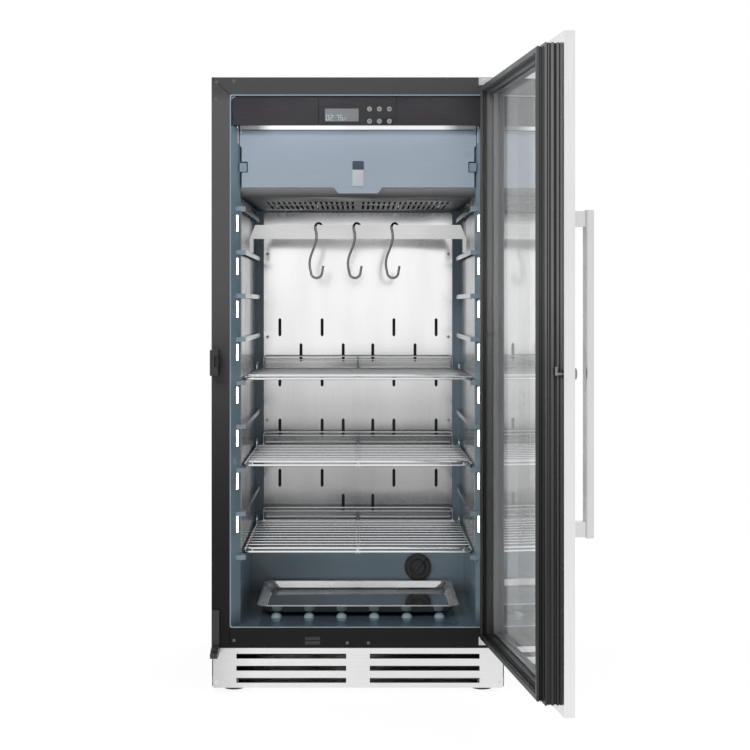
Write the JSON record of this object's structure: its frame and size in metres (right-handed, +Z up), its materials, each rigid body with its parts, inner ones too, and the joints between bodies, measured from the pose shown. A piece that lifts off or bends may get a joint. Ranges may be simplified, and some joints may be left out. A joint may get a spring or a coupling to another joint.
{
  "type": "dry aging cabinet",
  "caption": "Tall dry aging cabinet with a hinged glass door, wire shelves, hanging bar with hooks, drip tray, evaporator flap and a control strip.",
  "frame": {"origin": "centre of the base pan's underside", "axes": "+Z up, the front faces -Y, +X towards the door's hinge side"},
  "size_m": [0.6981, 1.2417, 1.25],
  "materials": {
    "shell_paint": "satin",
    "stainless": "brushed",
    "galvanised": "galvanised",
    "chrome": "polished",
    "aluminium": "mill",
    "black_plastic": "matt",
    "liner": "satin",
    "flap": "satin",
    "dark_fascia": "brushed",
    "display": "gloss",
    "board": "satin",
    "lens": "frosted",
    "foam": "matt",
    "rubber": "matt",
    "glass": "clear"
  },
  "bodies": {
    "cabinet": {"outer_shell": "shell_paint", "rear_cover": "shell_paint", "cord_inlet": "rubber", "insulation": "foam", "inner_liner": "liner", "frame_top": "black_plastic", "frame_bottom": "black_plastic", "frame_left": "black_plastic", "frame_right": "black_plastic", "base_pan": "galvanised", "plinth_grille": "stainless", "control_fascia": "dark_fascia", "display_panel": "display", "control_board": "board", "light_bar": "lens", "flap_clip_left": "flap", "flap_clip_right": "flap", "evaporator_cover": "stainless", "evaporator_coil": "aluminium", "fan_housing": "black_plastic", "back_panel": "stainless", "side_rack_left": "stainless", "side_rack_right": "stainless", "led_strip_left": "lens", "led_strip_right": "lens", "filter_housing": "black_plastic", "compressor": "shell_paint", "condenser": "aluminium", "condenser_shroud": "galvanised", "evaporation_pan": "black_plastic", "drain_tube": "black_plastic", "hinge_top": "galvanised", "hinge_bottom": "galvanised", "lock_strike": "black_plastic", "support_ramp": "black_plastic"},
    "door": {"door_frame": "stainless", "outer_pane": "glass", "inner_pane": "glass", "pane_spacer": "black_plastic", "inner_profile": "black_plastic", "gasket": "rubber", "handle": "stainless"},
    "lock": {"lock_cylinder": "stainless"},
    "evaporator_flap": {"flap": "flap"},
    "latch": {"flap_latch": "flap"},
    "upper_shelf": {"shelf_upper": "chrome"},
    "middle_shelf": {"shelf_middle": "chrome"},
    "lower_shelf": {"shelf_lower": "chrome"},
    "tray": {"drip_tray": "stainless"},
    "bar": {"hanging_bar": "stainless"},
    "left_hook": {"hook_left": "chrome"},
    "middle_hook": {"hook_middle": "chrome"},
    "right_hook": {"hook_right": "chrome"},
    "air_fan": {"evaporator_fan": "black_plastic"},
    "rear_fan": {"condenser_fan": "black_plastic"},
    "cap": {"filter_cap": "black_plastic"},
    "front_left_foot": {"foot_front_left": "black_plastic"},
    "front_right_foot": {"foot_front_right": "black_plastic"},
    "rear_left_foot": {"foot_rear_left": "black_plastic"},
    "rear_right_foot": {"foot_rear_right": "black_plastic"}
  },
  "joints": [
    {"name": "door_hinge", "type": "hinge", "parent": "cabinet", "child": "door", "pos_m": [0.2742, -0.35, 0.661], "axis": [0, 0, 1], "range_deg": [-96, 6]},
    {"name": "lock_turn", "type": "hinge", "parent": "door", "child": "lock", "pos_m": [0.36442, -0.90229, 0.661], "axis": [0.9945, 0.1045, 0], "range_deg": [0, 90]},
    {"name": "flap_hinge", "type": "hinge", "parent": "cabinet", "child": "evaporator_flap", "pos_m": [0, -0.291, 1.1317], "axis": [-1, 0, 0], "range_deg": [0, 90]},
    {"name": "latch_slide", "type": "slide", "parent": "evaporator_flap", "child": "latch", "axis": [0, 0, 1], "range_m": [0, 0.008]},
    {"name": "upper_shelf_slide", "type": "slide", "parent": "cabinet", "child": "upper_shelf", "axis": [0, -1, 0], "range_m": [0, 0.3]},
    {"name": "middle_shelf_slide", "type": "slide", "parent": "cabinet", "child": "middle_shelf", "axis": [0, -1, 0], "range_m": [0, 0.3]},
    {"name": "lower_shelf_slide", "type": "slide", "parent": "cabinet", "child": "lower_shelf", "axis": [0, -1, 0], "range_m": [0, 0.3]},
    {"name": "tray_slide", "type": "slide", "parent": "cabinet", "child": "tray", "axis": [0, -1, 0], "range_m": [0, 0.28]},
    {"name": "bar_slide", "type": "slide", "parent": "cabinet", "child": "bar", "axis": [0, -1, 0], "range_m": [-0.12, 0.2]},
    {"name": "left_hook_swing", "type": "hinge", "parent": "bar", "child": "left_hook", "pos_m": [-0.085, -0.096, 0.95035], "axis": [-1, 0, 0], "range_deg": [-3, 10]},
    {"name": "middle_hook_swing", "type": "hinge", "parent": "bar", "child": "middle_hook", "pos_m": [-0.0023, -0.096, 0.95035], "axis": [-1, 0, 0], "range_deg": [-3, 10]},
    {"name": "right_hook_swing", "type": "hinge", "parent": "bar", "child": "right_hook", "pos_m": [0.0794, -0.096, 0.95035], "axis": [-1, 0, 0], "range_deg": [-3, 10]},
    {"name": "air_fan_spin", "type": "hinge", "parent": "cabinet", "child": "air_fan", "pos_m": [0, -0.13, 1.0533], "axis": [0, 1, 0], "continuous": true},
    {"name": "rear_fan_spin", "type": "hinge", "parent": "cabinet", "child": "rear_fan", "pos_m": [-0.112, 0.225, 0.0693], "axis": [1, 0, 0], "continuous": true},
    {"name": "cap_twist", "type": "hinge", "parent": "cabinet", "child": "cap", "pos_m": [0.136, 0.1097, 0.181], "axis": [0, -1, 0], "range_deg": [0, 45]},
    {"name": "front_left_foot_turn", "type": "hinge", "parent": "cabinet", "child": "front_left_foot", "pos_m": [-0.255, -0.27, 0], "axis": [0, 0, 1], "continuous": true},
    {"name": "front_right_foot_turn", "type": "hinge", "parent": "cabinet", "child": "front_right_foot", "pos_m": [0.255, -0.27, 0], "axis": [0, 0, 1], "continuous": true},
    {"name": "rear_left_foot_turn", "type": "hinge", "parent": "cabinet", "child": "rear_left_foot", "pos_m": [-0.255, 0.275, 0], "axis": [0, 0, 1], "continuous": true},
    {"name": "rear_right_foot_turn", "type": "hinge", "parent": "cabinet", "child": "rear_right_foot", "pos_m": [0.255, 0.275, 0], "axis": [0, 0, 1], "continuous": true}
  ]
}
